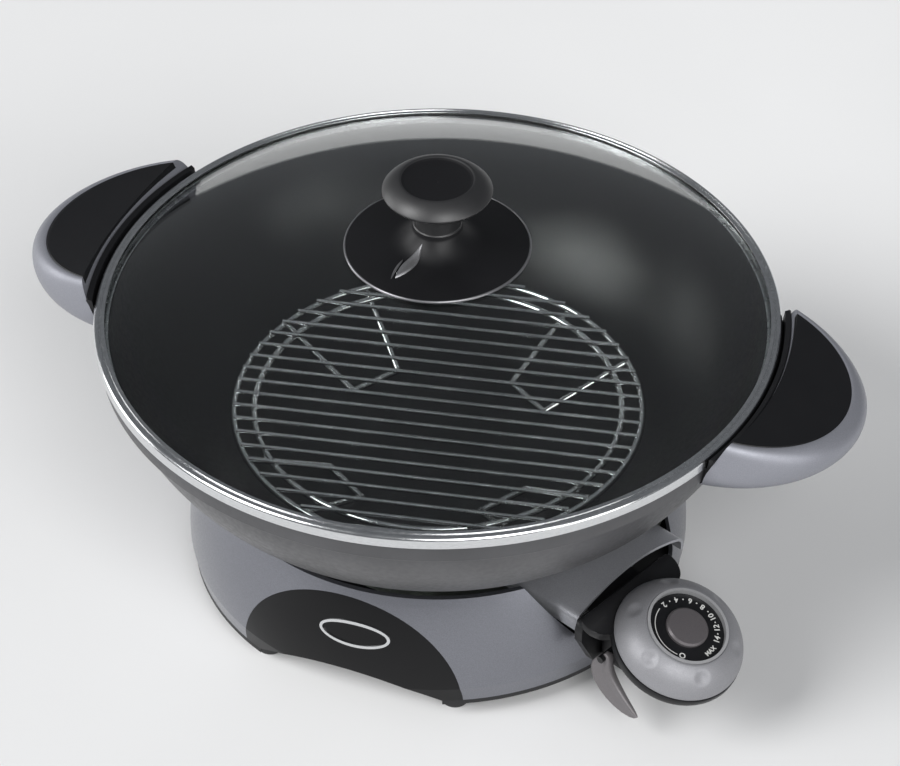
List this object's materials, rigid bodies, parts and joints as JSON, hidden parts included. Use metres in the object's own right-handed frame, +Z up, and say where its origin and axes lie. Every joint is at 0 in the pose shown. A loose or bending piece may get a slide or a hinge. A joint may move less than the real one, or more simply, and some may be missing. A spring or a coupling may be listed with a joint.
{
  "type": "electric wok",
  "caption": "Electric wok: non-stick cast pan with glass lid, wire steaming rack and plug-in temperature control, lifted out of a domed base.",
  "frame": {"origin": "on the table under the axis of the pan", "axes": "+Z up along the axis of the pan, +X through the right handle, -Y to the front panel"},
  "size_m": [0.4562, 0.36, 0.252],
  "materials": {
    "base_silver": "satin metallic silver",
    "panel_black": "satin black",
    "badge_steel": "polished",
    "floor_black": "matte black",
    "foot_rubber": "matte",
    "shield_steel": "plain sheet",
    "screw_steel": "plated",
    "pan_cast": "grey coating outside, black non-stick inside",
    "element_steel": "heat-dulled",
    "terminal_metal": "plated",
    "ceramic": "glazed",
    "guard_silver": "satin metallic silver",
    "handle_silver": "satin metallic silver",
    "handle_black": "satin black",
    "rim_steel": "polished",
    "gasket_rubber": "matte",
    "lid_glass": "clear",
    "plate_black": "satin black",
    "knob_black": "satin black",
    "rack_wire": "bright",
    "control_black": "fine satin black",
    "dial_silver": "satin metallic silver",
    "dial_black": "black with pale numbers",
    "lever_grey": "satin grey",
    "contact_brass": "plain"
  },
  "bodies": {
    "base": {"base_shell": "base_silver", "front_panel": "panel_black", "badge_ring": "badge_steel", "base_floor": "floor_black", "foot_right_front": "foot_rubber", "foot_left_front": "foot_rubber", "foot_left_back": "foot_rubber", "foot_right_back": "foot_rubber", "heat_shield": "shield_steel", "pan_rest": "shield_steel", "rest_screws": "screw_steel", "floor_screws": "screw_steel"},
    "pan": {"wok_bowl": "pan_cast", "heating_element": "element_steel", "element_terminals": "terminal_metal", "terminal_beads": "ceramic", "element_plate": "shield_steel", "plate_screw": "screw_steel", "sensor_socket": "element_steel", "probe_guard": "guard_silver", "handle_bracket_right": "handle_black", "handle_shell_right": "handle_silver", "handle_cover_right": "handle_black", "handle_screws_right": "screw_steel", "handle_bracket_left": "handle_black", "handle_shell_left": "handle_silver", "handle_cover_left": "handle_black", "handle_screws_left": "screw_steel"},
    "lid": {"lid_rim": "rim_steel", "lid_gasket": "gasket_rubber", "lid_glass": "lid_glass", "lid_plate": "plate_black", "lid_trim": "rim_steel", "steam_vent": "rim_steel", "knob": "knob_black", "knob_collar": "rim_steel", "knob_washer": "gasket_rubber", "knob_screw": "screw_steel"},
    "rack": {"rack_ring": "rack_wire", "rack_inner_ring": "rack_wire", "rack_bars": "rack_wire", "rack_legs": "rack_wire"},
    "probe": {"probe_housing": "control_black", "probe_rear": "control_black", "probe_bottom_cover": "control_black", "housing_screws": "screw_steel", "contact_block": "control_black", "contact_clips": "contact_brass", "sensor_rod": "terminal_metal", "thermostat": "control_black", "cord_gland": "foot_rubber", "lever_pin": "screw_steel"},
    "dial": {"dial_skirt": "dial_silver", "dial_face": "dial_black", "dial_ring": "badge_steel", "dial_cap": "dial_silver", "dial_shaft": "terminal_metal"},
    "lever": {"release_lever": "lever_grey"}
  },
  "joints": [
    {"name": "pan_lift", "type": "slide", "parent": "base", "child": "pan", "axis": [0, 0, 1], "range_m": [0, 0.15]},
    {"name": "lid_lift", "type": "slide", "parent": "pan", "child": "lid", "axis": [0, 0, 1], "range_m": [0, 0.15]},
    {"name": "rack_lift", "type": "slide", "parent": "pan", "child": "rack", "axis": [0, 0, 1], "range_m": [0, 0.075]},
    {"name": "probe_slide", "type": "slide", "parent": "pan", "child": "probe", "axis": [0.9304, -0.3665, 0], "range_m": [0, 0.08]},
    {"name": "dial_turn", "type": "hinge", "parent": "probe", "child": "dial", "pos_m": [0.16633, -0.07842, 0.06], "axis": [0.3561, -0.1403, 0.9239], "range_deg": [0, 300]},
    {"name": "lever_press", "type": "hinge", "parent": "probe", "child": "lever", "pos_m": [0.13151, -0.09587, 0.0485], "axis": [0.3665, 0.9304, 0], "range_deg": [0, 12], "stiffness_Nm_per_rad": 0.05, "springref_deg": -5.73}
  ],
  "couplings": [
    {"joint": "rack_lift", "follows": "lid_lift", "ratio": 0.5}
  ]
}
